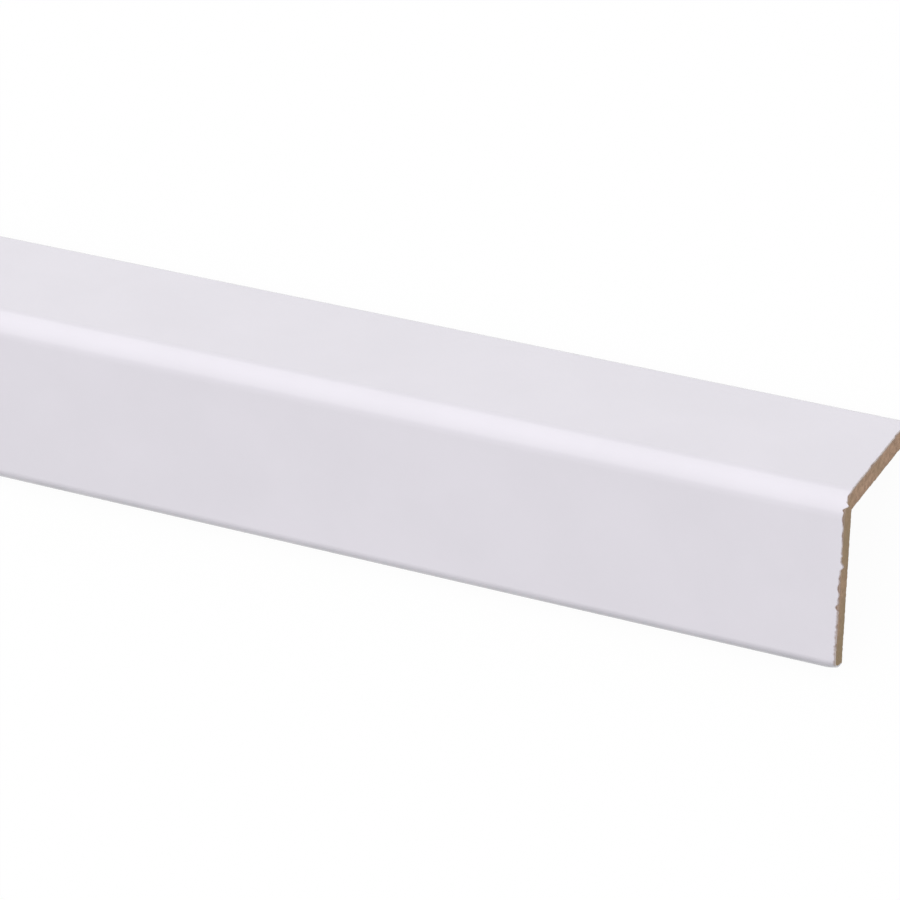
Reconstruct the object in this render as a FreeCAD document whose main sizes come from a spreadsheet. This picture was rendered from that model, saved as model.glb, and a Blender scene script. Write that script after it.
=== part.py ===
"""Corner guard moulding: a length of equal-leg MDF angle with a rounded nose and rounded free edges.

The section is drawn as it sits on a wall's outside corner, one leg level and the other upright, and runs along X.
The finished length is turned by 45 degrees, so that it lies on its two free edges with the nose up.
The origin is at the middle of the length, on the floor below the nose.
"""

import FreeCAD, Part
import os

import Sketcher

SIZES = (
    ("length", "2400", "stock length from end to end"),
    ("leg", "32", "width of each leg, measured over the nose"),
    ("wall", "4", "thickness of both legs"),
    ("nose_radius", "4", "rounding of the outer corner where the legs meet"),
    ("edge_radius", "2.4", "rounding of each free edge on its outer side"),
    ("edge_ease", "0.4", "easing of each free edge on its inner side"),
)
REST_TURN_DEG = -45
ALONG_STOCK = FreeCAD.Vector(1, 0, 0)
SAME_PLACE = 1e-6


def make_sheet(doc):
    """The driving dimensions in millimetres, one aliased cell each, with a note beside it."""
    sheet = doc.addObject("Spreadsheet::Sheet", "Sizes")
    for row, (alias, value, note) in enumerate(SIZES, start=1):
        sheet.set(f"A{row}", value)
        sheet.setAlias(f"A{row}", alias)
        sheet.set(f"B{row}", note)
    doc.recompute()
    return sheet


def origin_plane(body, role):
    """The body's own origin plane with this role."""
    return next(item for item in body.Origin.OriginFeatures if item.Role == role)


def draw_section(body, sheet):
    """The L-shaped section with sharp corners, its outer corner on the sketch's origin."""
    sketch = body.newObject("Sketcher::SketchObject", "Section")
    sketch.AttachmentSupport = [(origin_plane(body, "YZ_Plane"), "")]
    sketch.MapMode = "FlatFace"

    corners = [
        FreeCAD.Vector(0, 0, 0),
        FreeCAD.Vector(sheet.leg, 0, 0),
        FreeCAD.Vector(sheet.leg, -sheet.wall, 0),
        FreeCAD.Vector(sheet.wall, -sheet.wall, 0),
        FreeCAD.Vector(sheet.wall, -sheet.leg, 0),
        FreeCAD.Vector(0, -sheet.leg, 0),
    ]
    sides = len(corners)
    for side, corner in enumerate(corners):
        sketch.addGeometry(Part.LineSegment(corner, corners[(side + 1) % sides]), False)

    # Sides alternate between level and upright, each starting where the one before it ends.
    outer_level, edge_of_level, _, _, edge_of_upright, outer_upright = range(sides)
    start, end = 1, 2
    sketch_origin = -1
    for side in range(sides):
        sketch.addConstraint(Sketcher.Constraint("Coincident", side, end, (side + 1) % sides, start))
        direction = "Horizontal" if side % 2 == 0 else "Vertical"
        sketch.addConstraint(Sketcher.Constraint(direction, side))
    sketch.addConstraint(Sketcher.Constraint("Coincident", outer_level, start, sketch_origin, start))

    lengths = (
        ("level_leg", outer_level, "leg"),
        ("upright_leg", outer_upright, "leg"),
        ("level_wall", edge_of_level, "wall"),
        ("upright_wall", edge_of_upright, "wall"),
    )
    for name, side, size in lengths:
        index = sketch.addConstraint(Sketcher.Constraint("Distance", side, getattr(sheet, size)))
        sketch.renameConstraint(index, name)
        sketch.setExpression(f"Constraints.{name}", f"Sizes.{size}")
    return sketch


def edges_through(shape, places):
    """Names of the edges that run along the stock through the given (Y, Z) places of the section."""
    wanted = [FreeCAD.Vector(0, y, z) for y, z in places]
    names = []
    for number, edge in enumerate(shape.Edges, start=1):
        first, last = edge.Vertexes[0].Point, edge.Vertexes[-1].Point
        across = FreeCAD.Vector(0, first.y, first.z)
        runs_along = (last - first).cross(ALONG_STOCK).Length < SAME_PLACE
        if runs_along and any(across.distanceToPoint(place) < SAME_PLACE for place in wanted):
            names.append(f"Edge{number}")
    if len(names) != len(places):
        raise RuntimeError(f"found {len(names)} of {len(places)} edges to round")
    return names


def round_edges(body, name, places, radius):
    """Round the stock's long edges at these places of the section, by a radius given as an expression."""
    body.Document.recompute()
    base = body.Tip
    fillet = body.newObject("PartDesign::Fillet", name)
    fillet.Base = (base, edges_through(base.Shape, places))
    fillet.setExpression("Radius", radius)
    return fillet


def make_corner_guard(doc, sheet):
    """The moulding: its section carried along the length, rounded, and laid on its free edges."""
    body = doc.addObject("PartDesign::Body", "corner_guard")
    body.Label = "corner_guard"
    section = draw_section(body, sheet)

    stock = body.newObject("PartDesign::Pad", "Stock")
    stock.Profile = section
    stock.SideType = "Symmetric"
    stock.setExpression("Length", "Sizes.length")

    nose = [(0, 0)]
    outer_edges = [(sheet.leg, 0), (0, -sheet.leg)]
    inner_edges = [(sheet.leg, -sheet.wall), (sheet.wall, -sheet.leg)]
    round_edges(body, "Nose", nose, "Sizes.nose_radius")
    # The rounding leaves a flat on the free edge, at least as wide as the easing.
    edge_radius = "min(Sizes.edge_radius; Sizes.wall - 2 * Sizes.edge_ease)"
    round_edges(body, "OuterEdges", outer_edges, edge_radius)
    round_edges(body, "InnerEdges", inner_edges, "Sizes.edge_ease")

    # Turned nose up, the lowest point is on the eased inner edge of either leg.
    body.Placement = FreeCAD.Placement(
        FreeCAD.Vector(0, 0, 0), FreeCAD.Rotation(ALONG_STOCK, REST_TURN_DEG)
    )
    body.setExpression(
        "Placement.Base.z", "(Sizes.leg + Sizes.wall - 2 * Sizes.edge_ease) / sqrt(2) + Sizes.edge_ease"
    )
    return body


def check_document(doc, subparts):
    """Stop unless every object was computed and every sub-part is one sound solid."""
    for item in doc.Objects:
        if "Invalid" in item.State or "Error" in item.State:
            raise RuntimeError(f"{item.Name} was not computed: {item.State}")
    for subpart in subparts:
        shape = subpart.Shape
        if shape.isNull() or not shape.isValid() or len(shape.Solids) != 1:
            raise RuntimeError(f"{subpart.Label} is not one sound solid")


def main():
    doc = FreeCAD.newDocument("corner_guard_moulding")
    sheet = make_sheet(doc)
    subparts = [make_corner_guard(doc, sheet)]
    doc.recompute()
    check_document(doc, subparts)
    os.makedirs("parts", exist_ok=True)
    for subpart in subparts:
        subpart.Shape.exportStep(os.path.join("parts", f"{subpart.Label}.step"))
        box = subpart.Shape.BoundBox
        print(subpart.Label, f"{box.XLength:.2f} x {box.YLength:.2f} x {box.ZLength:.2f} mm, lowest {box.ZMin:.3f}")


main()
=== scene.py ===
"""Corner guard moulding for the outside corner of a wall, dressed for rendering.

The moulding is one length of fibreboard, milled to an angle and coated white on the outside. It lies
along X on its two free edges, with the nose (the rounded outer corner) up. Two surfaces are worked out
here: the bare fibreboard with its sawn ends, and the thin white coat over it, which the saw left ragged
at both ends.

Lengths are in metres. A place in the section is given as two distances from the sharp outer corner,
which the nose rounds off: one along the rear leg and one along the front leg.
"""

import logging
import math
from abc import ABC, abstractmethod
from dataclasses import dataclass, field
from enum import Enum
from typing import Any, ClassVar, Iterable, Mapping, Optional, Sequence, Union

import bpy
import numpy as np
from mathutils import Matrix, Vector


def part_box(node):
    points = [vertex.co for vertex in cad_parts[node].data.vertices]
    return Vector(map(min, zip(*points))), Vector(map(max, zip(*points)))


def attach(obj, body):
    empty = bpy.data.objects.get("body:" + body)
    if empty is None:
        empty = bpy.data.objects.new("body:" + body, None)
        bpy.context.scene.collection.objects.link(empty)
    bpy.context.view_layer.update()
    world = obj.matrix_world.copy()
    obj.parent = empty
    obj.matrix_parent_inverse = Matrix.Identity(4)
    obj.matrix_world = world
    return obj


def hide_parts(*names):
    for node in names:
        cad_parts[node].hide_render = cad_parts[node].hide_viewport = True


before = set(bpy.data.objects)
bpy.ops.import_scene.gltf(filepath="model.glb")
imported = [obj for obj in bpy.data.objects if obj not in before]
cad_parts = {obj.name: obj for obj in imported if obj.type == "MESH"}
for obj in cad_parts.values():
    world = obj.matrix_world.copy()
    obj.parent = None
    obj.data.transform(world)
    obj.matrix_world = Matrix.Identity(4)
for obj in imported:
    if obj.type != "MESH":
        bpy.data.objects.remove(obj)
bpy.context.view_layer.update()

log = logging.getLogger("corner_guard")

MM = 0.001
SQRT_HALF = math.sqrt(0.5)
QUARTER_TURN_DEG = 90.0
LAID_DEG = QUARTER_TURN_DEG / 2
NODE = "corner_guard"
BODY = "root"
BAKE_MAP = "OFBake"
WORN = "worn"
# mesh mark for painted shade: how much the coat is darkened along its free edges
PAINTED_EDGE_SHADE = "painted_edge_shade"
STRIPS = 6
SAME_POINT = 1e-8
CRISP_DEG = 50.0
NOISE_MEAN = 0.5

Colour = tuple[float, float, float]
Span = tuple[float, float]
Link = Union["Field", float, int, Sequence[float]]


class CutEnd(Enum):
    """The two sawn ends of the stock, by the direction along X that each one faces."""

    NEAR = 1
    FAR = -1


class ChipForm(Enum):
    """How the coat broke at the saw cut: in a shallow scoop or in a pointed splinter."""

    SCOOP = "scoop"
    SPLINTER = "splinter"


@dataclass(frozen=True)
class Stretch:
    """One run or quarter circle of the outline.

    A point is the base plus the radius times the unit normal. The base moves along a straight run, and
    the normal's angle changes along an arc.
    """

    start: tuple[float, float]
    end: tuple[float, float]
    radius: float
    first_deg: float
    last_deg: float

    def length(self) -> float:
        """Straight length plus arc length."""
        turn = math.radians(abs(self.last_deg - self.first_deg))
        return math.dist(self.start, self.end) + self.radius * turn

    def sample(self, spacing: float) -> tuple[np.ndarray, np.ndarray]:
        """Evenly spaced points from the start up to, but not including, the end.

        Args:
            spacing: largest distance between points, whose number is made even.

        Returns:
            Section places and outward unit normals, one row each.
        """
        steps = 2 * math.ceil(self.length() / spacing / 2)
        share = np.arange(steps) / steps
        angle = np.radians(self.first_deg + (self.last_deg - self.first_deg) * share)
        normals = np.column_stack([np.cos(angle), np.sin(angle)])
        bases = np.array(self.start) + np.outer(share, np.subtract(self.end, self.start))
        return bases + self.radius * normals, normals


@dataclass(frozen=True)
class Outline:
    """Section points with their outward normals, and the distance run to each from the nose's middle."""

    places: np.ndarray
    normals: np.ndarray
    run: np.ndarray

    @property
    def from_edge(self) -> np.ndarray:
        """Distance run from each point to the nearer end of the outline."""
        return self.run[-1] - np.abs(self.run)


@dataclass(frozen=True)
class Section:
    """The equal-leg angle: flat legs, a round nose, and free edges rounded outside and eased inside."""

    leg: float
    wall: float = 4.0 * MM
    nose_radius: float = 4.0 * MM
    edge_radius: float = 2.4 * MM
    edge_ease: float = 0.4 * MM
    spacing: float = 0.16 * MM
    ease_steps: int = 18

    @classmethod
    def from_width(cls, half_width: float) -> "Section":
        """The section whose rounded free edges reach this far from the middle, lying nose up."""
        # The edge's round is centred (leg - 2 radii) / sqrt 2 from the middle and reaches a radius further.
        radius = cls.edge_radius
        return cls(leg=(half_width - radius) / SQRT_HALF + 2 * radius)

    @property
    def edge_run(self) -> float:
        """Distance run from the middle of the nose to the middle of either free edge's round."""
        radii = self.nose_radius + self.edge_radius
        return radii * math.pi / 4 + self.leg - radii

    @property
    def corner_height(self) -> float:
        """Height of the sharp outer corner above the floor, with the eased inner edges resting on it."""
        return (self.leg + self.wall - 2 * self.edge_ease) * SQRT_HALF + self.edge_ease

    def stand(self, places: np.ndarray) -> np.ndarray:
        """Turn section places by 45 degrees into (Y, Z), nose up: both legs slope down from the corner.

        Args:
            places: distances along the rear and the front leg, in the last axis.

        Returns:
            Y is the difference of the two distances and Z falls with their sum, both over sqrt 2.
        """
        rear, front = places[..., 0], places[..., 1]
        across = (rear - front) * SQRT_HALF
        height = self.corner_height - (rear + front) * SQRT_HALF
        return np.stack([across, height], axis=-1)

    def coated_outline(self) -> Outline:
        """The outer side, from the rear leg's free edge over the nose to the front leg's free edge.

        Four straight runs and three quarter circles alternate, and the normal turns by 270 degrees.

        Returns:
            The outline with its end point, sampled at about the section's spacing.
        """
        leg, nose, edge = self.leg, self.nose_radius, self.edge_radius
        flat_end = self.wall - self.edge_ease
        stretches = (
            Stretch((leg, flat_end), (leg, edge), 0.0, 0.0, 0.0),
            Stretch((leg - edge, edge), (leg - edge, edge), edge, 0.0, -90.0),
            Stretch((leg - edge, 0.0), (nose, 0.0), 0.0, -90.0, -90.0),
            Stretch((nose, nose), (nose, nose), nose, -90.0, -180.0),
            Stretch((0.0, nose), (0.0, leg - edge), 0.0, -180.0, -180.0),
            Stretch((edge, leg - edge), (edge, leg - edge), edge, -180.0, -270.0),
            Stretch((edge, leg), (flat_end, leg), 0.0, -270.0, -270.0),
        )
        sampled = [stretch.sample(self.spacing) for stretch in stretches]
        last_point = np.array([[flat_end, leg]])
        last_normal = np.array([[0.0, 1.0]])
        places = np.concatenate([points for points, _ in sampled] + [last_point])
        normals = np.concatenate([sides for _, sides in sampled] + [last_normal])
        steps = np.linalg.norm(np.diff(places, axis=0), axis=1)
        run = np.concatenate([[0.0], np.cumsum(steps)])
        return Outline(places, normals, run - run[-1] / 2)

    def bare_outline(self, count: int) -> np.ndarray:
        """The inner faces from the rear leg to the front leg, with a point on the sharp inner corner.

        Args:
            count: number of points, an odd number.

        Returns:
            Places spaced evenly along the rear leg's face and then along the front leg's face.
        """
        free = self.leg - self.edge_ease
        half = np.linspace(free, self.wall, count // 2 + 1)
        wall = np.full_like(half, self.wall)
        rear = np.column_stack([half, wall])
        front = np.column_stack([wall, half])[::-1]
        return np.concatenate([rear, front[1:]])

    def ease(self, end_of_rear_leg: bool) -> np.ndarray:
        """The eased inner edge of one leg: a quarter circle from its free edge to its inner face.

        Args:
            end_of_rear_leg: true for the rear leg, false for the front leg.

        Returns:
            Section places, one row each.
        """
        angle = np.radians(np.linspace(0.0, QUARTER_TURN_DEG, self.ease_steps + 1))
        along = self.leg - self.edge_ease + self.edge_ease * np.cos(angle)
        into = self.wall - self.edge_ease + self.edge_ease * np.sin(angle)
        return np.column_stack([along, into] if end_of_rear_leg else [into, along])

    def from_inner_faces(self, places: np.ndarray) -> np.ndarray:
        """Distance from the inner faces: straight across the wall, and radial round the inner corner."""
        return np.linalg.norm(np.maximum(self.wall - places, 0.0), axis=-1)


def smoothstep(share: np.ndarray) -> np.ndarray:
    """The curve 3 s^2 - 2 s^3 of a share held between 0 and 1."""
    held = np.clip(share, 0.0, 1.0)
    return held * held * (3.0 - 2.0 * held)


def wander(places: np.ndarray, seed: int, knots: int = 257) -> np.ndarray:
    """Smooth random relief between -1 and 1, with one knot in each unit square.

    Every knot of a repeating lattice has a seeded random value, and a place gets the mix of the four
    knots round it, weighted by smoothstep in both directions.

    Args:
        places: coordinates in units of the wanted grain size, two in the last axis.
        seed: start of the random draw.
        knots: lattice size, after which the relief repeats.

    Returns:
        One value for each place.
    """
    lattice = np.random.default_rng(seed).uniform(-1.0, 1.0, (knots, knots))
    cell = np.floor(places).astype(int)
    weight = smoothstep(places - cell)
    low, high = cell % knots, (cell + 1) % knots
    first = lattice[low[..., 0], low[..., 1]] * (1 - weight[..., 0])
    first = first + lattice[high[..., 0], low[..., 1]] * weight[..., 0]
    second = lattice[low[..., 0], high[..., 1]] * (1 - weight[..., 0])
    second = second + lattice[high[..., 0], high[..., 1]] * weight[..., 0]
    return first * (1 - weight[..., 1]) + second * weight[..., 1]


@dataclass(frozen=True)
class Patch:
    """A grid of points in space, each point's place on the bake map, and marks of wear and painted shade
    from 0 to 1.
    """

    points: np.ndarray
    chart: np.ndarray
    marks: Mapping[str, np.ndarray] = field(default_factory=dict)

    def faces(self) -> np.ndarray:
        """The cells of the grid, facing the side that columns crossed with rows point to.

        Returns:
            The four grid indices of each cell, one row each.
        """
        rows, columns = self.points.shape[:2]
        index = np.arange(rows * columns).reshape(rows, columns)
        corners = [index[:-1, :-1], index[:-1, 1:], index[1:, 1:], index[1:, :-1]]
        return np.stack([corner.ravel() for corner in corners], axis=1)

    def facing(self, end: CutEnd) -> "Patch":
        """This patch for the near cut, and the same patch turned round for the far cut."""
        marks = {name: self.mark(name)[::-1] for name in self.marks}
        return self if end is CutEnd.NEAR else Patch(self.points[::-1], self.chart[::-1], marks)

    def mark(self, name: str) -> np.ndarray:
        """One mark at every point."""
        return np.broadcast_to(self.marks[name], self.points.shape[:2])


@dataclass(frozen=True)
class BakeMap:
    """Layout of a piece's bake map: a band for each strip of the length, and above them the cut faces."""

    end_band: float
    margin: float = 0.004
    hidden_share: float = 0.05
    hidden_gap: float = 0.005

    def band(self, along: np.ndarray, up: np.ndarray, low: float, height: float) -> np.ndarray:
        """Map places over the full width and a band of the height, kept off its borders by a margin.

        Args:
            along: share of the width, one for each row and column.
            up: share of the band's height, of the same shape.
            low: lower border of the band.
            height: height of the band.

        Returns:
            Places in the last axis.
        """
        wide = self.margin + (1 - 2 * self.margin) * along
        high = low + self.margin / 2 + (height - self.margin) * up
        return np.stack([wide, high], axis=-1)

    def strip(self, number: int, along: np.ndarray, up: np.ndarray) -> np.ndarray:
        """Map places of one strip, from a share along for each row and a share up for each column."""
        height = (1.0 - 2 * self.end_band) / STRIPS
        return self.band(*np.meshgrid(along, up, indexing="ij"), number * height, height)

    def cut_face(self, end: CutEnd, shape: Sequence[int]) -> np.ndarray:
        """Map places of one cut face.

        Args:
            end: which cut.
            shape: number of rows, which lie up the band, and of columns, which lie along it.

        Returns:
            Places in the last axis.
        """
        up, along = np.meshgrid(*(np.linspace(0.0, 1.0, count) for count in shape), indexing="ij")
        low = 1.0 - self.end_band * (1 if end is CutEnd.NEAR else 2)
        return self.band(along, up, low, self.end_band)

    def round_loop(self, seen: int, hidden: int) -> np.ndarray:
        """Shares up a strip round a closed loop: first the seen points, then the hidden ones.

        Args:
            seen: number of points on the side that shows.
            hidden: number of points on the side that another surface covers, which gets little room.

        Returns:
            Rising shares from 0 to 1.
        """
        rest = 1.0 - self.hidden_share
        shown = np.linspace(0.0, rest, seen)
        covered = np.linspace(rest + self.hidden_gap, 1.0, hidden)
        return np.concatenate([shown, covered])


def joined_mesh(name: str, patches: Sequence[Patch]) -> bpy.types.Mesh:
    """One mesh from several grids, smooth but for its steep edges.

    Points in the same place become one vertex.

    Args:
        name: the mesh's name.
        patches: grids whose borders meet, all with the same kinds of marks.

    Returns:
        The mesh, with its bake map and its marks.
    """
    points = np.concatenate([patch.points.reshape(-1, 3) for patch in patches])
    counts = [patch.points.shape[0] * patch.points.shape[1] for patch in patches]
    starts = np.concatenate([[0], np.cumsum(counts)[:-1]])
    faces = np.concatenate([patch.faces() + start for patch, start in zip(patches, starts)])
    charts = np.concatenate([patch.chart.reshape(-1, 2) for patch in patches])[faces.ravel()]

    cells = np.round(points / SAME_POINT).astype(np.int64)
    _, first, shared = np.unique(cells, axis=0, return_index=True, return_inverse=True)
    corners = shared.reshape(-1)[faces.ravel()]

    mesh = bpy.data.meshes.new(name)
    mesh.vertices.add(len(first))
    mesh.vertices.foreach_set("co", points[first].ravel())
    mesh.loops.add(corners.size)
    mesh.loops.foreach_set("vertex_index", corners)
    mesh.polygons.add(len(faces))
    mesh.polygons.foreach_set("loop_start", np.arange(0, corners.size, faces.shape[1]))
    mesh.polygons.foreach_set("use_smooth", np.ones(len(faces), dtype=bool))
    mesh.uv_layers.new(name=BAKE_MAP).data.foreach_set("uv", charts.ravel())
    for name_of_mark in patches[0].marks:
        values = np.concatenate([patch.mark(name_of_mark).ravel() for patch in patches])
        mesh.attributes.new(name_of_mark, "FLOAT", "POINT").data.foreach_set("value", values[first])
    mesh.update(calc_edges=True)
    mesh.validate()
    mesh.set_sharp_from_angle(angle=math.radians(CRISP_DEG))
    return mesh


def placed(data: bpy.types.ID) -> bpy.types.Object:
    """An object in the scene, at the origin.

    Args:
        data: the mesh, lamp or camera that it holds.

    Returns:
        The object, named like its data.
    """
    holder = bpy.data.objects.new(data.name, data)
    bpy.context.scene.collection.objects.link(holder)
    return holder


def turn_about(axis: str, degrees: float) -> Matrix:
    """A turn about one of the axes."""
    return Matrix.Rotation(math.radians(degrees), 4, axis)


@dataclass(frozen=True)
class Field:
    """A value over the surface: wraps a socket, so that sums and products of it become Math nodes."""

    sheet: "ShaderSheet"
    socket: bpy.types.NodeSocket

    def _with(self, operation: str, first: Link, second: Link) -> "Field":
        """The result of a Math node on two values."""
        return self.sheet.add("ShaderNodeMath", {"operation": operation}, {0: first, 1: second})["Value"]

    def __add__(self, other: Link) -> "Field":
        """This value plus another."""
        return self._with("ADD", self, other)

    def __sub__(self, other: Link) -> "Field":
        """This value less another."""
        return self._with("SUBTRACT", self, other)

    def __rsub__(self, other: Link) -> "Field":
        """Another value less this one."""
        return self._with("SUBTRACT", other, self)

    def __mul__(self, other: Link) -> "Field":
        """This value times another."""
        return self._with("MULTIPLY", self, other)

    __radd__ = __add__
    __rmul__ = __mul__

    def at_least(self, other: Link) -> "Field":
        """The larger of this value and another."""
        return self._with("MAXIMUM", self, other)

    def at_most(self, other: Link) -> "Field":
        """The smaller of this value and another."""
        return self._with("MINIMUM", self, other)

    def root(self) -> "Field":
        """The square root."""
        return self._with("POWER", self, 0.5)


@dataclass(frozen=True)
class Fitted:
    """A node that has been added, whose outputs are looked up by name."""

    sheet: "ShaderSheet"
    node: bpy.types.Node

    def __getitem__(self, name: str) -> Field:
        """The output with this identifier or name."""
        return Field(self.sheet, ShaderSheet.find(self.node.outputs, name))


@dataclass(frozen=True)
class ShaderSheet:
    """A node tree that is written as expressions."""

    tree: bpy.types.NodeTree

    @classmethod
    def cleared(cls, owner: Union[bpy.types.Material, bpy.types.World]) -> "ShaderSheet":
        """Empty an owner's node tree.

        Args:
            owner: the material or world.

        Returns:
            The sheet to write on.
        """
        owner.use_nodes = True
        owner.node_tree.nodes.clear()
        return cls(owner.node_tree)

    @staticmethod
    def find(sockets: Iterable[bpy.types.NodeSocket], name: Union[str, int]) -> bpy.types.NodeSocket:
        """Look a socket up.

        Args:
            sockets: a node's inputs or outputs.
            name: its number, identifier or name, where an identifier counts before a name.

        Returns:
            The socket.
        """
        listed = list(sockets)
        if isinstance(name, int):
            return listed[name]
        by_identifier = [socket for socket in listed if socket.identifier == name]
        return (by_identifier or [socket for socket in listed if socket.name == name])[0]

    def add(
        self,
        kind: str,
        settings: Optional[Mapping[str, Any]] = None,
        sockets: Optional[Mapping[Union[str, int], Link]] = None,
    ) -> Fitted:
        """Add a node.

        Args:
            kind: the node's type name.
            settings: properties, set before the sockets because they can change which sockets there are.
            sockets: a value or a link for each input, by name, identifier or number.

        Returns:
            The node, ready to give its outputs.
        """
        node = self.tree.nodes.new(kind)
        for name, value in (settings or {}).items():
            setattr(node, name, value)
        for name, value in (sockets or {}).items():
            socket = self.find(node.inputs, name)
            if isinstance(value, Field):
                self.tree.links.new(value.socket, socket)
            else:
                socket.default_value = value
        return Fitted(self, node)

    def object_place(self) -> Field:
        """The place on the piece, in metres."""
        return self.add("ShaderNodeTexCoord")["Object"]

    def attribute(self, name: str) -> Field:
        """A number stored on the mesh."""
        return self.add("ShaderNodeAttribute", {"attribute_name": name})["Fac"]

    def grain(self, place: Field, size: float, detail: float, roughness: float = 0.5) -> Field:
        """Fractal noise from 0 to 1 whose coarsest spots are about this size."""
        sockets = {"Vector": place, "Scale": 1.0 / size, "Detail": detail, "Roughness": roughness}
        return self.add("ShaderNodeTexNoise", sockets=sockets)["Fac"]

    def between(self, value: Field, low: float, high: float) -> Field:
        """A smooth rise from 0 at the low value to 1 at the high one."""
        sockets = {"Value": value, "From Min": low, "From Max": high, "To Min": 0.0, "To Max": 1.0}
        return self.add("ShaderNodeMapRange", {"interpolation_type": "SMOOTHSTEP"}, sockets)["Result"]

    def blend(self, share: Link, first: Link, second: Link) -> Field:
        """Mix two colours: the first at share 0, the second at share 1."""
        sockets = {"Factor_Float": share, "A_Color": self.colour(first), "B_Color": self.colour(second)}
        return self.add("ShaderNodeMix", {"data_type": "RGBA"}, sockets)["Result_Color"]

    @staticmethod
    def colour(value: Link) -> Link:
        """A colour with its alpha, where it is written as three numbers."""
        return value if isinstance(value, Field) else (*value, 1.0)

    def relief(self, height: Field, strength: float, depth: float) -> Field:
        """A normal tilted by a height map of this depth."""
        sockets = {"Strength": strength, "Distance": depth, "Height": height}
        return self.add("ShaderNodeBump", sockets=sockets)["Normal"]

    def output(self, shader: Field, kind: str = "ShaderNodeOutputMaterial") -> None:
        """Connect the shader to the surface."""
        self.add(kind, sockets={"Surface": shader})


@dataclass(frozen=True)
class CoatFinish:
    """Satin white coat: a cool, faintly clouded white with a sprayed film's peel, under clear lacquer."""

    white: Colour = (0.845, 0.811, 0.884)
    shade: Colour = (0.820, 0.788, 0.858)
    frayed: Colour = (0.37, 0.27, 0.245)
    # painted shade: the grey that the coat is darkened towards along its free edges
    edge_shade_colour: Colour = (0.416, 0.410, 0.468)
    cloud_size: float = 14.0 * MM
    cloud_span: Span = (0.25, 0.75)
    haze_size: float = 14.0 / 3 * MM
    shade_mottle_size: float = 6.0 * MM
    fleck_size: float = 0.3 * MM
    fleck_share: float = 0.5
    bare_span: Span = (0.1, 1.0)
    peel_size: float = 0.8 * MM
    peel_depth: float = 0.004 * MM
    peel_strength: float = 0.5
    slow_detail: float = 3.0
    fine_detail: float = 2.0
    smoothest: float = 0.20
    roughening: float = 0.08
    lacquer: float = 1.0
    lacquer_roughness: float = 0.12

    def material(self) -> bpy.types.Material:
        """Slow noises vary colour and gloss, and a fine one tilts the normal. Wear and painted shade along
        the free edges lie on top.

        Returns:
            The coat's material.
        """
        material = bpy.data.materials.new("white_coat")
        sheet = ShaderSheet.cleared(material)
        place = sheet.object_place()
        cloud = sheet.grain(place, self.cloud_size, self.slow_detail)
        shade_mottle = sheet.grain(place, self.shade_mottle_size, self.slow_detail)
        haze = sheet.grain(place, self.haze_size, self.fine_detail)
        peel = sheet.grain(place, self.peel_size, self.fine_detail)
        fleck = sheet.grain(place, self.fleck_size, self.fine_detail)
        clouded = sheet.blend(sheet.between(cloud, *self.cloud_span), self.white, self.shade)
        # painted shade along the free edges, mottled by a slow noise
        edge_shading = sheet.attribute(PAINTED_EDGE_SHADE) * (1.0 - NOISE_MEAN + shade_mottle)
        painted_edge_shade = sheet.blend(edge_shading, clouded, self.edge_shade_colour)
        flecked = sheet.attribute(WORN) + self.fleck_share * (fleck - NOISE_MEAN)
        sockets = {
            "Base Color": sheet.blend(sheet.between(flecked, *self.bare_span), painted_edge_shade, self.frayed),
            "Roughness": self.smoothest + self.roughening * haze,
            "Normal": sheet.relief(peel, self.peel_strength, self.peel_depth),
            "Coat Weight": self.lacquer,
            "Coat Roughness": self.lacquer_roughness,
        }
        sheet.output(sheet.add("ShaderNodeBsdfPrincipled", sockets=sockets)["BSDF"])
        return material


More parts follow.
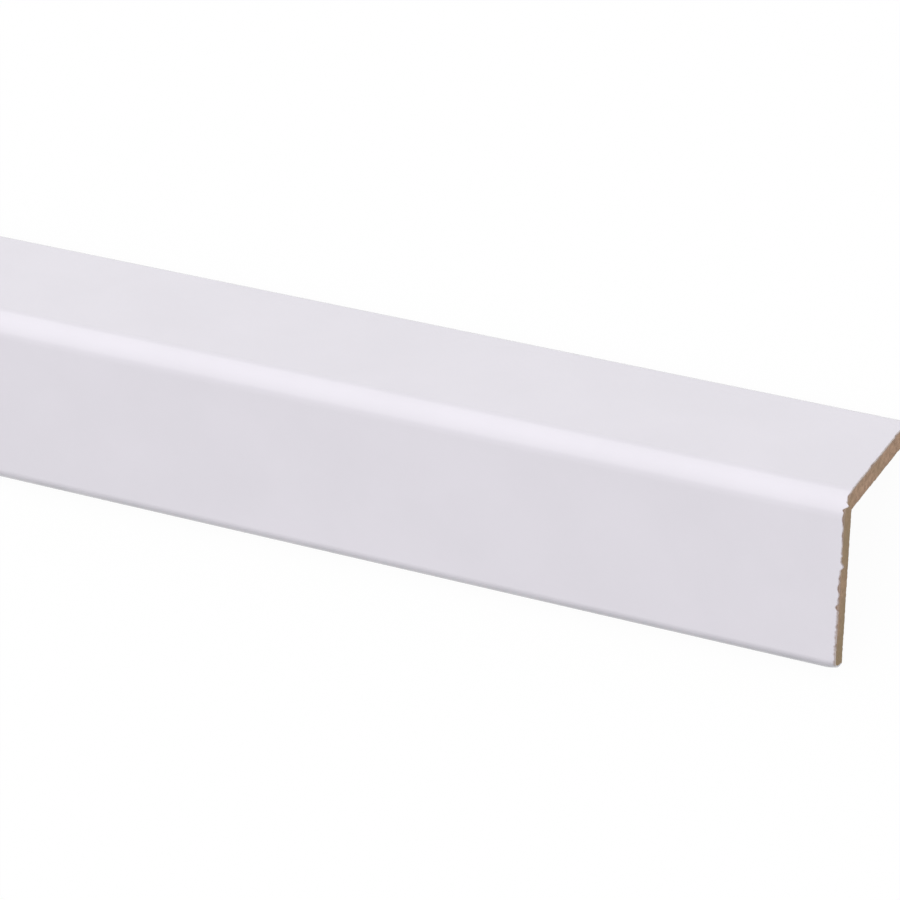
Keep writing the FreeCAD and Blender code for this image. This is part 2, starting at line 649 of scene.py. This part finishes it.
@dataclass(frozen=True)
class FibreboardFinish:
    """Raw fibreboard: speckled brown fibre, a darker skin inside, and greyer where the coat soaked in."""

    section: Section
    light: Colour = (0.622, 0.411, 0.280)
    dark: Colour = (0.417, 0.271, 0.182)
    olive: Colour = (0.352, 0.269, 0.154)
    skin: Colour = (0.36, 0.235, 0.15)
    soaked: Colour = (0.50, 0.40, 0.35)
    fibre_size: float = 0.35 * MM
    fibre_detail: float = 3.0
    fibre_roughness: float = 0.65
    fibre_share: float = 0.5
    fibre_depth: float = 0.05 * MM
    fibre_strength: float = 0.6
    clump_size: float = 1.2 * MM
    clump_detail: float = 2.0
    speckle_span: Span = (0.36, 0.64)
    stain_size: float = 16.0 * MM
    stain_detail: float = 1.0
    stain_shift: float = 16.247
    stain_span: Span = (0.40, 0.60)
    stain_cover: float = 0.8
    skin_depth: float = 0.6 * MM
    skin_cover: float = 0.75
    soak_depth: float = 0.9 * MM
    soak_cover: float = 0.6
    smoothest: float = 0.78
    roughening: float = 0.18

    def material(self) -> bpy.types.Material:
        """Noises mix the browns, and the distance from the inner faces brings in skin and soaked side.

        Returns:
            The bare board's material.
        """
        material = bpy.data.materials.new("raw_fibreboard")
        sheet = ShaderSheet.cleared(material)
        place = sheet.object_place()
        fibre = sheet.grain(place, self.fibre_size, self.fibre_detail, self.fibre_roughness)
        clump = sheet.grain(place, self.clump_size, self.clump_detail)
        mixed = self.fibre_share * fibre + (1.0 - self.fibre_share) * clump
        fresh = sheet.blend(sheet.between(mixed, *self.speckle_span), self.dark, self.light)
        shift = {0: place, 1: (self.stain_shift, 0.0, 0.0)}
        shifted = sheet.add("ShaderNodeVectorMath", {"operation": "ADD"}, shift)["Vector"]
        blotch = sheet.grain(shifted, self.stain_size, self.stain_detail)
        stain = self.stain_cover * sheet.between(blotch, *self.stain_span)
        wood = sheet.blend(stain, fresh, self.olive)
        inwards = self.from_inner_faces(sheet, place)
        near_coat = sheet.between(inwards, self.section.wall - self.soak_depth, self.section.wall)
        near_face = 1.0 - sheet.between(inwards, 0.0, self.skin_depth)
        soaked = sheet.blend(self.soak_cover * near_coat, wood, self.soaked)
        sockets = {
            "Base Color": sheet.blend(self.skin_cover * near_face, soaked, self.skin),
            "Roughness": self.smoothest + self.roughening * fibre,
            "Normal": sheet.relief(fibre, self.fibre_strength, self.fibre_depth),
        }
        sheet.output(sheet.add("ShaderNodeBsdfPrincipled", sockets=sockets)["BSDF"])
        return material

    def from_inner_faces(self, sheet: ShaderSheet, place: Field) -> Field:
        """The section's distance from its inner faces, worked out again from the place on the piece.

        Args:
            sheet: node tree to add to.
            place: place on the piece.

        Returns:
            Square root of the sum of the squares of what is left of the wall along each leg.
        """
        axes = sheet.add("ShaderNodeSeparateXYZ", sockets={"Vector": place})
        below_corner = self.section.corner_height - axes["Z"]
        rear = SQRT_HALF * (below_corner + axes["Y"])
        front = SQRT_HALF * (below_corner - axes["Y"])
        rear_rest = (self.section.wall - rear).at_least(0.0)
        front_rest = (self.section.wall - front).at_least(0.0)
        return (rear_rest * rear_rest + front_rest * front_rest).root()


@dataclass(frozen=True)
class FloorFinish:
    """Pale seamless floor: white to the eye and in reflections, faintly shadowed, with little bounce."""

    white: Colour = (1.0, 1.0, 1.0)
    bounce: Colour = (0.15, 0.15, 0.15)
    glow: float = 0.96

    def material(self) -> bpy.types.Material:
        """Seen rays get a glowing white that still takes shadow, and all other rays a dim matt floor.

        Returns:
            The floor's material.
        """
        material = bpy.data.materials.new("pale_floor")
        sheet = ShaderSheet.cleared(material)
        matt = sheet.add("ShaderNodeBsdfDiffuse", sockets={"Color": sheet.colour(self.white)})["BSDF"]
        glowing = sheet.add("ShaderNodeEmission", sockets={"Color": sheet.colour(self.white)})["Emission"]
        pale = sheet.add("ShaderNodeMixShader", sockets={0: self.glow, 1: matt, 2: glowing})["Shader"]
        dim = sheet.add("ShaderNodeBsdfDiffuse", sockets={"Color": sheet.colour(self.bounce)})["BSDF"]
        chosen = sheet.add("ShaderNodeMixShader", sockets={0: seen_rays(sheet), 1: dim, 2: pale})
        sheet.output(chosen["Shader"])
        return material


def seen_rays(sheet: ShaderSheet) -> Field:
    """1 for rays that the camera sees directly, in a reflection or through glass, and 0 for the rest."""
    path = sheet.add("ShaderNodeLightPath")
    return (path["Is Camera Ray"] + path["Is Glossy Ray"] + path["Is Transmission Ray"]).at_most(1.0)


@dataclass(frozen=True)
class Stock:
    """The section and the stations along X that both surfaces are carried through.

    Stations are close together at the cut ends, and further in they are at most one step apart.
    """

    section: Section
    length: float
    steps_in_strip: int = 4
    first_gap: float = 0.04 * MM
    gap_growth: float = 1.5
    end_room: float = 0.15

    @property
    def half(self) -> float:
        """Half of the length."""
        return self.length / 2

    def from_cut(self, stations: np.ndarray, end: CutEnd) -> np.ndarray:
        """Distance of each station from one of the cuts."""
        return self.half - end.value * stations

    def near_cut(self, stations: np.ndarray, end: CutEnd, zone: float) -> np.ndarray:
        """Nearness of each station to a cut: 1 at the cut, smoothly down to 0 at the zone's end."""
        return 1.0 - smoothstep(self.from_cut(stations, end) / zone)

    def in_space(self, x: np.ndarray, places: np.ndarray) -> np.ndarray:
        """Points at these X, with their section places stood nose up."""
        return np.concatenate([x[..., None], self.section.stand(places)], axis=-1)

    def chart_share(self, stations: np.ndarray) -> np.ndarray:
        """Share of the bake map's width: mostly by length, and partly by count.

        The part by count leaves more room for the cut ends.

        Args:
            stations: rising places along X.

        Returns:
            Shares from 0 to 1.
        """
        by_length = (stations - stations[0]) / (stations[-1] - stations[0])
        by_count = np.linspace(0.0, 1.0, len(stations))
        return by_length + self.end_room * (by_count - by_length)

    def strip_stations(self, strip: int) -> np.ndarray:
        """Stations of one of the equal strips of the length.

        Even steps fill the strip. In the first and last strip, gaps that grow by a fixed ratio from the
        cut end inwards are added, up to the first even step.

        Args:
            strip: number of the strip, counted from the far end.

        Returns:
            Rising places along X, with both borders of the strip.
        """
        borders = np.linspace(-self.half, self.half, STRIPS + 1)
        even = np.linspace(borders[strip], borders[strip + 1], self.steps_in_strip + 1)
        step = even[1] - even[0]
        count = int(math.log(1 + step * (self.gap_growth - 1) / self.first_gap, self.gap_growth))
        powers = self.gap_growth ** np.arange(1, count + 1)
        gaps = self.first_gap * (powers - 1) / (self.gap_growth - 1)
        fine_far = gaps - self.half if strip == 0 else []
        fine_near = self.half - gaps if strip == STRIPS - 1 else []
        return np.unique(np.concatenate([even, fine_far, fine_near]))


@dataclass
class StockSurface(ABC):
    """A surface carried along the stock in strips, closed by a face on each cut, in one finish."""

    stock: Stock
    finish: Union[CoatFinish, FibreboardFinish]
    name: ClassVar[str]

    @abstractmethod
    def strip(self, number: int) -> Patch:
        """One strip of the length, counted from the far end."""

    @abstractmethod
    def cut_face(self, end: CutEnd) -> Patch:
        """The face on one cut, looking out along X."""

    def build(self) -> bpy.types.Object:
        """Join the strips and both cut faces, and dress them.

        Returns:
            The piece.
        """
        patches = [self.strip(number) for number in range(STRIPS)]
        patches += [self.cut_face(end) for end in CutEnd]
        piece = placed(joined_mesh(self.name, patches))
        piece.data.materials.append(self.finish.material())
        return piece


@dataclass(frozen=True)
class Chip:
    """A place where the coat's end stops short of the saw cut, or hangs over it.

    The place is measured along the outline from the middle of the nose, positive on the front leg.
    """

    place: float
    half_width: float
    reach: float
    form: ChipForm = ChipForm.SCOOP

    def profile(self, run: np.ndarray) -> np.ndarray:
        """How far the coat reaches past the cut at each distance run.

        A scoop is the square of one less the squared distance. A splinter falls straight from its tip.

        Args:
            run: distances along the outline.

        Returns:
            Reach at each distance, 0 away from the chip.
        """
        off = np.clip(np.abs(run - self.place) / self.half_width, 0.0, 1.0)
        share = 1.0 - off if self.form is ChipForm.SPLINTER else (1.0 - off * off) ** 2
        return self.reach * share


CHIPS: Mapping[CutEnd, Sequence[Chip]] = {
    CutEnd.NEAR: (
        Chip(-1.0 * MM, 0.8 * MM, -0.16 * MM),
        Chip(0.65 * MM, 0.50 * MM, 0.46 * MM, ChipForm.SPLINTER),
        Chip(1.45 * MM, 0.45 * MM, -0.34 * MM),
        Chip(2.8 * MM, 1.8 * MM, -0.24 * MM),
        Chip(6.0 * MM, 1.2 * MM, -0.10 * MM),
        Chip(9.5 * MM, 0.4 * MM, 0.12 * MM),
        Chip(11.4 * MM, 0.8 * MM, 0.44 * MM),
        Chip(13.7 * MM, 0.8 * MM, -0.12 * MM),
        Chip(15.4 * MM, 1.1 * MM, -0.26 * MM),
        Chip(17.4 * MM, 0.7 * MM, -0.10 * MM),
        Chip(18.9 * MM, 0.8 * MM, -0.38 * MM),
        Chip(22.4 * MM, 0.6 * MM, -0.10 * MM),
        Chip(25.9 * MM, 0.5 * MM, -0.08 * MM),
        Chip(-12.0 * MM, 1.4 * MM, -0.08 * MM),
        Chip(-24.0 * MM, 1.1 * MM, -0.10 * MM),
    ),
    CutEnd.FAR: (
        Chip(-2.4 * MM, 0.7 * MM, -0.30 * MM),
        Chip(-9.5 * MM, 0.9 * MM, -0.22 * MM),
        Chip(-17.2 * MM, 0.6 * MM, 0.25 * MM),
        Chip(-21.0 * MM, 1.2 * MM, -0.35 * MM),
        Chip(7.4 * MM, 0.8 * MM, -0.12 * MM),
        Chip(18.6 * MM, 0.5 * MM, 0.20 * MM, ChipForm.SPLINTER),
        Chip(25.3 * MM, 0.9 * MM, -0.24 * MM),
    ),
}


@dataclass(frozen=True)
class RubbedCorner:
    """The corner of a cut at one free edge, rubbed round in handling."""

    end: CutEnd
    place: float
    half_width: float = 4.0 * MM
    depth: float = 0.35 * MM
    back: float = 0.45 * MM
    zone: float = 2.0 * MM

    def nearness(self, inwards: np.ndarray) -> np.ndarray:
        """The square of a straight fall from 1 at the cut to 0 at the zone's end."""
        return np.clip(1.0 - inwards / self.zone, 0.0, 1.0) ** 2

    def inset(self, inwards: np.ndarray, run: np.ndarray) -> np.ndarray:
        """How far the outer side lies under the true section: a scoop along the run, fading inwards."""
        scoop = Chip(self.place, self.half_width, self.depth)
        return np.outer(self.nearness(inwards), scoop.profile(run))

    def worn_back(self, inwards: np.ndarray) -> np.ndarray:
        """How far the rear and the front leg's inner edges are taken back, one row for each place."""
        on_front = float(self.place > 0)
        return self.back * np.outer(self.nearness(inwards), [1.0 - on_front, on_front])


@dataclass
class WhiteCoat(StockSurface):
    """The white film on the outer faces, the nose and the free edges, as a thin closed shell."""

    thickness: float = 0.20 * MM
    thinnest: float = 0.03 * MM
    thinning: float = 0.7 * MM
    fat_edge: float = 0.10 * MM
    ragged: float = 0.05 * MM
    ragged_size: float = 0.45 * MM
    ragged_seed: int = 20
    chip_zone: float = 2.5 * MM
    far_rub: float = 0.3 * MM
    least_frayed: float = 0.20 * MM
    most_frayed: float = 0.52 * MM
    frayed_unevenly: float = 0.4
    frayed_seed: int = 30
    sound_edge: float = 2.8 * MM
    sound_fade: float = 1.0 * MM
    # painted shade: how far in from the free edges the coat is darkened, how much along the length, and how
    # far from the cuts it grows
    edge_shade_width: float = 5.2 * MM
    edge_shade_fade: float = 2.2 * MM
    edge_shade_along: float = 0.69
    edge_shade_zone: float = 30.0 * MM
    bake_map: BakeMap = BakeMap(end_band=0.01)
    outline: Outline = field(init=False)
    rubbed: tuple[RubbedCorner, ...] = field(init=False)
    name: ClassVar[str] = "white_coat"

    def __post_init__(self) -> None:
        """Sample the outline once for both sides of the film, and find the free edges on it."""
        section = self.stock.section
        self.outline = section.coated_outline()
        foot = section.edge_run + section.edge_radius / 2
        self.rubbed = (
            RubbedCorner(CutEnd.NEAR, foot),
            RubbedCorner(CutEnd.FAR, -foot, depth=self.far_rub, back=self.far_rub),
        )

    def depth(self) -> np.ndarray:
        """Film thickness along the outline: even, gathered under the free edges, and thin at its end."""
        full = self.thickness + self.fat_edge * (1.0 - self.bared())
        return self.thinnest + (full - self.thinnest) * smoothstep(self.outline.from_edge / self.thinning)

    def sides(self, stations: np.ndarray) -> tuple[np.ndarray, np.ndarray]:
        """The film's outer side, and its inner side where the board begins.

        Args:
            stations: places along X.

        Returns:
            Section places of both sides, one row for each station.
        """
        run = self.outline.run
        insets = [corner.inset(self.stock.from_cut(stations, corner.end), run) for corner in self.rubbed]
        outer = self.outline.places - self.outline.normals * sum(insets)[..., None]
        inner = outer - self.outline.normals * self.depth()[:, None]
        return outer, inner

    def along_outline(self, seed: int) -> np.ndarray:
        """Fine random relief from -1 to 1 along the outline."""
        run = self.outline.run
        return wander(np.column_stack([run / self.ragged_size, np.zeros_like(run)]), seed)

    def reach(self, end: CutEnd) -> np.ndarray:
        """How far the film's end reaches past the saw cut: fine raggedness plus the chips."""
        fine = self.ragged * (self.along_outline(self.ragged_seed + end.value) - 1.0) / 2
        return fine + sum(chip.profile(self.outline.run) for chip in CHIPS[end])

    def bared(self) -> np.ndarray:
        """Share of the fraying along the outline: all on the faces and none under the free edges."""
        return smoothstep((self.outline.from_edge - self.sound_edge) / self.sound_fade)

    def frayed(self, stations: np.ndarray) -> np.ndarray:
        """How far the film is worn through: 1 at its end, down to 0 within an uneven fringe.

        The fringe widens down the front leg, and the film stays sound under the free edges.

        Args:
            stations: places along X.

        Returns:
            One row for each station.
        """
        lean = smoothstep(self.outline.run / self.outline.run[-1])
        fringe = self.least_frayed + (self.most_frayed - self.least_frayed) * lean
        worn = np.zeros((len(stations), len(fringe)))
        for end in CutEnd:
            relief = self.along_outline(self.frayed_seed + end.value)
            uneven = fringe * (1.0 + self.frayed_unevenly * relief)
            worn = np.maximum(worn, 1.0 - self.stock.from_cut(stations, end)[:, None] / uneven)
        return worn * self.bared()

    def painted_edge_shade(self, stations: np.ndarray) -> np.ndarray:
        """How much painted shade darkens the film: most on the free edges at the cuts, fading out on the
        faces.

        Args:
            stations: places along X.

        Returns:
            One row for each station.
        """
        across = smoothstep((self.edge_shade_width - self.outline.from_edge) / self.edge_shade_fade)
        near_ends = sum(self.stock.near_cut(stations, end, self.edge_shade_zone) for end in CutEnd)
        return np.outer(self.edge_shade_along + (1.0 - self.edge_shade_along) * near_ends, across)

    def along(self, stations: np.ndarray) -> np.ndarray:
        """X of the film at each station and outline point: the reach fades out over the chip zone.

        Args:
            stations: places along X.

        Returns:
            One row for each station.
        """
        grid = np.repeat(stations[:, None], len(self.outline.run), axis=1)
        for end in CutEnd:
            fade = self.stock.near_cut(stations, end, self.chip_zone)
            grid = grid + end.value * np.outer(fade, self.reach(end))
        return grid

    def strip(self, number: int) -> Patch:
        """One strip of the shell: its section's closed loop, outside and back inside, carried along X.

        Args:
            number: which strip, counted from the far end.

        Returns:
            The strip with its marks.
        """
        stations = self.stock.strip_stations(number)
        outer, inner = self.sides(stations)
        loops = np.concatenate([outer, inner[:, ::-1], outer[:, :1]], axis=1)
        there = np.arange(len(self.outline.run))
        round_trip = np.concatenate([there, there[::-1], there[:1]])
        points = self.stock.in_space(self.along(stations)[:, round_trip], loops)
        up = self.bake_map.round_loop(len(there), len(there) + 1)
        chart = self.bake_map.strip(number, self.stock.chart_share(stations), up)
        worn = self.frayed(stations)[:, round_trip]
        # painted shade on the free edges, kept as a mark
        painted_edge_shade = self.painted_edge_shade(stations)[:, round_trip]
        return Patch(points, chart, {WORN: worn, PAINTED_EDGE_SHADE: painted_edge_shade})

    def cut_face(self, end: CutEnd) -> Patch:
        """The film's own edge at one cut: a ribbon from its outer to its inner side.

        Args:
            end: which cut.

        Returns:
            The ribbon, looking out along X.
        """
        cut = np.array([end.value * self.stock.half])
        sides = np.concatenate(self.sides(cut))
        points = self.stock.in_space(np.repeat(self.along(cut), len(sides), axis=0), sides)
        chart = self.bake_map.cut_face(end, points.shape[:2])
        return Patch(points, chart, {WORN: self.bared(), PAINTED_EDGE_SHADE: self.painted_edge_shade(cut)}).facing(end)


@dataclass
class FibreboardCore(StockSurface):
    """The bare board under the coat: its section carried along X, closed by the two sawn ends."""

    coat: WhiteCoat
    saw_pitch: float = 0.9 * MM
    saw_depth: float = 0.012 * MM
    saw_slant_deg: float = 62.0
    tear_size: float = 0.4 * MM
    tear_depth: float = 0.05 * MM
    tear_seed: int = 40
    breakout: float = 0.28 * MM
    breakout_width: float = 0.45 * MM
    breakout_unevenly: float = 0.25
    recess_zone: float = 1.5 * MM
    bake_map: BakeMap = BakeMap(end_band=0.07)
    name: ClassVar[str] = "fibreboard_core"

    def sawn_recess(self, places: np.ndarray, end: CutEnd) -> np.ndarray:
        """How far the sawn face lies behind the cut.

        Saw marks are a fine slanted sine wave, torn fibres are random relief, and the saw broke out the
        inner edge: there the face falls away with the square of the nearness to the inner faces.

        Args:
            places: section places.
            end: which cut.

        Returns:
            One recess for each place.
        """
        slant = math.radians(self.saw_slant_deg)
        phase = (places[..., 0] * math.cos(slant) + places[..., 1] * math.sin(slant)) / self.saw_pitch
        saw = self.saw_depth * (1.0 + np.sin(2 * math.pi * phase))
        torn = wander(places / self.tear_size, self.tear_seed + end.value)
        rough = self.tear_depth * (1.0 + torn) / 2
        inwards = self.stock.section.from_inner_faces(places)
        nearness = np.clip(1.0 - inwards / self.breakout_width, 0.0, 1.0)
        broken = self.breakout * nearness**2 * (1.0 - self.breakout_unevenly * (1.0 - torn))
        return saw + rough + broken

    def eased(self, end_of_rear_leg: bool, first: np.ndarray, last: np.ndarray) -> np.ndarray:
        """The eased inner edge of one leg, from where the coat stops to where the inner face starts.

        The quarter circle is moved by the offsets of its two ends, mixed evenly on the way between them.

        Args:
            end_of_rear_leg: true for the rear leg, false for the front leg.
            first: places where the coat stops, one for each station.
            last: places where the inner face starts, one for each station.

        Returns:
            Section places, one row for each station.
        """
        true = self.stock.section.ease(end_of_rear_leg)
        share = np.linspace(0.0, 1.0, len(true))[:, None]
        return true + (1 - share) * (first - true[0])[:, None] + share * (last - true[-1])[:, None]

    def borders(self, stations: np.ndarray) -> tuple[np.ndarray, ...]:
        """The four lines round the board's section: under the coat, inner faces, rear and front ease.

        Where a corner is rubbed, the inner face is drawn together towards the inner corner.

        Args:
            stations: places along X.

        Returns:
            Section places, one row for each station. The first two lines run from rear to front.
        """
        section, stock = self.stock.section, self.stock
        outer = self.coat.sides(stations)[1]
        lost = sum(rub.worn_back(stock.from_cut(stations, rub.end)) for rub in self.coat.rubbed)
        kept = 1.0 - lost / (section.leg - section.edge_ease - section.wall)
        inner = section.wall + (section.bare_outline(outer.shape[1]) - section.wall) * kept[:, None]
        rear = self.eased(True, outer[:, 0], inner[:, 0])
        front = self.eased(False, outer[:, -1], inner[:, -1])
        return outer, inner, rear, front

    def loops(self, stations: np.ndarray) -> np.ndarray:
        """Section places round the board: under the coat, over one eased edge, and back inside.

        Args:
            stations: places along X.

        Returns:
            One closed loop for each station, which ends on its first place.
        """
        outer, inner, rear, front = self.borders(stations)
        inside = [front[:, 1:], inner[:, -2::-1], rear[:, -2:0:-1]]
        return np.concatenate([outer, *inside, outer[:, :1]], axis=1)

    def along(self, stations: np.ndarray, loops: np.ndarray) -> np.ndarray:
        """X of the board: the sawn recess of each cut fades out inwards.

        Args:
            stations: places along X.
            loops: section places, one row for each station.

        Returns:
            One row for each station.
        """
        grid = np.repeat(stations[:, None], loops.shape[1], axis=1)
        for end in CutEnd:
            fade = self.stock.near_cut(stations, end, self.recess_zone)[:, None]
            grid = grid - end.value * fade * self.sawn_recess(loops, end)
        return grid

    def strip(self, number: int) -> Patch:
        """One strip of the board: its loops carried along X.

        Args:
            number: which strip, counted from the far end.

        Returns:
            The strip.
        """
        stations = self.stock.strip_stations(number)
        loops = self.loops(stations)
        points = self.stock.in_space(self.along(stations, loops), loops)
        hidden = len(self.coat.outline.run)
        up = 1.0 - self.bake_map.round_loop(loops.shape[1] - hidden, hidden)[::-1]
        return Patch(points, self.bake_map.strip(number, self.stock.chart_share(stations), up))

    def cut_face(self, end: CutEnd) -> Patch:
        """A sawn face stretched over its four borders: coated side, inner faces, and both eased edges.

        A place is the mix of both long borders across the wall, plus the mix of both short borders along
        the legs, less the mix of the four corners that both of them hold.

        Args:
            end: which cut.

        Returns:
            The face, looking out along X.
        """
        cut = np.array([end.value * self.stock.half])
        outer, inner, rear, front = (line[0] for line in self.borders(cut))
        u = np.linspace(0.0, 1.0, len(outer))[None, :, None]
        v = np.linspace(0.0, 1.0, len(rear))[:, None, None]
        across = (1 - v) * outer[None] + v * inner[None]
        lengthwise = (1 - u) * rear[:, None] + u * front[:, None]
        corners = (1 - u) * ((1 - v) * rear[0] + v * rear[-1]) + u * ((1 - v) * front[0] + v * front[-1])
        places = across + lengthwise - corners
        x = end.value * (self.stock.half - self.sawn_recess(places, end))
        points = self.stock.in_space(x, places)
        return Patch(points, self.bake_map.cut_face(end, points.shape[:2])).facing(end)


@dataclass(frozen=True)
class Softbox:
    """A soft lamp that faces a place on the stock's axis.

    Its angle counts from the rear horizon (0) over the zenith (90) to the front horizon (180), with its
    length along X. The swing then turns it about the upright through that place, so that 90 brings a
    front lamp before the near end.
    """

    name: str
    angle_deg: float
    spread_deg: float
    power: float
    length: float
    place: float
    swing_deg: float = 0.0
    distance: float = 1.5

    def build(self) -> bpy.types.Object:
        """Add the lamp, wide enough to cover its spread.

        Returns:
            The lamp, which the camera doesn't see.
        """
        lamp = bpy.data.lights.new(self.name, "AREA")
        lamp.shape = "RECTANGLE"
        lamp.size = self.length
        lamp.size_y = 2 * self.distance * math.tan(math.radians(self.spread_deg) / 2)
        lamp.energy = self.power
        holder = placed(lamp)
        faced = Matrix.Translation((self.place, 0.0, 0.0))
        aim = turn_about("Z", self.swing_deg) @ turn_about("X", self.angle_deg - QUARTER_TURN_DEG)
        holder.matrix_world = faced @ aim @ Matrix.Translation((0.0, 0.0, self.distance))
        holder.visible_camera = False
        return holder


@dataclass(frozen=True)
class Studio:
    """Pale floor, an even white dome and soft lamps."""

    floor_finish: FloorFinish = FloorFinish()
    floor_size: float = 16.0
    white: Colour = (1.0, 1.0, 1.0)
    dome: float = 0.71
    lamps: tuple[Softbox, ...] = (
        Softbox("overhead_softbox", angle_deg=73.0, spread_deg=112.0, power=19.6, length=3.0, place=0.15),
        Softbox("front_softbox", angle_deg=160.0, spread_deg=20.0, power=1.9, length=6.0, place=1.2),
        Softbox(
            "end_softbox",
            angle_deg=165.0,
            spread_deg=30.0,
            power=4.2,
            length=1.5,
            place=1.2,
            swing_deg=90.0,
        ),
    )

    def build_floor(self) -> bpy.types.Object:
        """A square sheet under the moulding.

        Returns:
            The floor.
        """
        half = self.floor_size / 2
        x, y = np.meshgrid([-half, half], [-half, half])
        points = np.stack([x, y, np.zeros_like(x)], axis=-1)
        chart = (points[..., :2] + half) / self.floor_size
        floor = placed(joined_mesh("floor", [Patch(points, chart)]))
        floor.data.materials.append(self.floor_finish.material())
        return floor

    def build_dome(self) -> None:
        """A world that lights evenly and shows plain white."""
        world = bpy.data.worlds.new("dome")
        sheet = ShaderSheet.cleared(world)
        strength = self.dome + (1.0 - self.dome) * seen_rays(sheet)
        sockets = {"Color": sheet.colour(self.white), "Strength": strength}
        background = sheet.add("ShaderNodeBackground", sockets=sockets)
        sheet.output(background["Background"], "ShaderNodeOutputWorld")
        bpy.context.scene.world = world

    def build_lamps(self) -> list[bpy.types.Object]:
        """Every lamp."""
        return [lamp.build() for lamp in self.lamps]


@dataclass(frozen=True)
class Viewpoint:
    """Where the camera stands, told with the moulding as it sits on a wall.

    The rear leg is then level and the front leg upright. Distances start at the sharp outer corner of
    the near cut.
    """

    beyond_end: float = 168.35 * MM
    in_front: float = 519.94 * MM
    above: float = 282.53 * MM
    turn_deg: float = 24.480
    tilt_deg: float = 26.844
    roll_deg: float = 0.646
    lens_mm: float = 155.74
    sensor_mm: float = 36.0

    def build(self, stock: Stock) -> bpy.types.Object:
        """Add the camera, turned with the moulding by 45 degrees about X, because it lies nose up.

        Args:
            stock: the moulding it looks at.

        Returns:
            The camera, set as the scene's own.
        """
        camera = bpy.data.cameras.new("viewpoint")
        camera.lens = self.lens_mm
        camera.sensor_width = self.sensor_mm
        holder = placed(camera)
        corner = Matrix.Translation((stock.half, 0.0, stock.section.corner_height))
        stand = Matrix.Translation((self.beyond_end, -self.in_front, self.above))
        aim = turn_about("Z", self.turn_deg) @ turn_about("X", QUARTER_TURN_DEG - self.tilt_deg)
        roll = turn_about("Z", self.roll_deg)
        holder.matrix_world = corner @ turn_about("X", -LAID_DEG) @ stand @ aim @ roll
        bpy.context.scene.camera = holder
        return holder


def main() -> None:
    """Build the moulding, the studio and the camera in order."""
    logging.basicConfig(level=logging.INFO, format="%(name)s: %(message)s")
    bpy.context.scene.view_settings.view_transform = "Standard"

    lowest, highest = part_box(NODE)
    section = Section.from_width(highest.y)
    stock = Stock(section, length=highest.x - lowest.x)

    coat = WhiteCoat(stock, CoatFinish())
    core = FibreboardCore(stock, FibreboardFinish(section), coat)
    for part in (core, coat):
        piece = part.build()
        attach(piece, BODY)
        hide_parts(NODE)
        log.info("%s: %d faces", piece.name, len(piece.data.polygons))

    studio = Studio()
    floor = studio.build_floor()
    studio.build_dome()
    lamps = studio.build_lamps()
    log.info("studio: %s, %d lamps", floor.name, len(lamps))

    camera = Viewpoint().build(stock)
    log.info("camera: %s", camera.name)


if __name__ == "__main__":
    main()
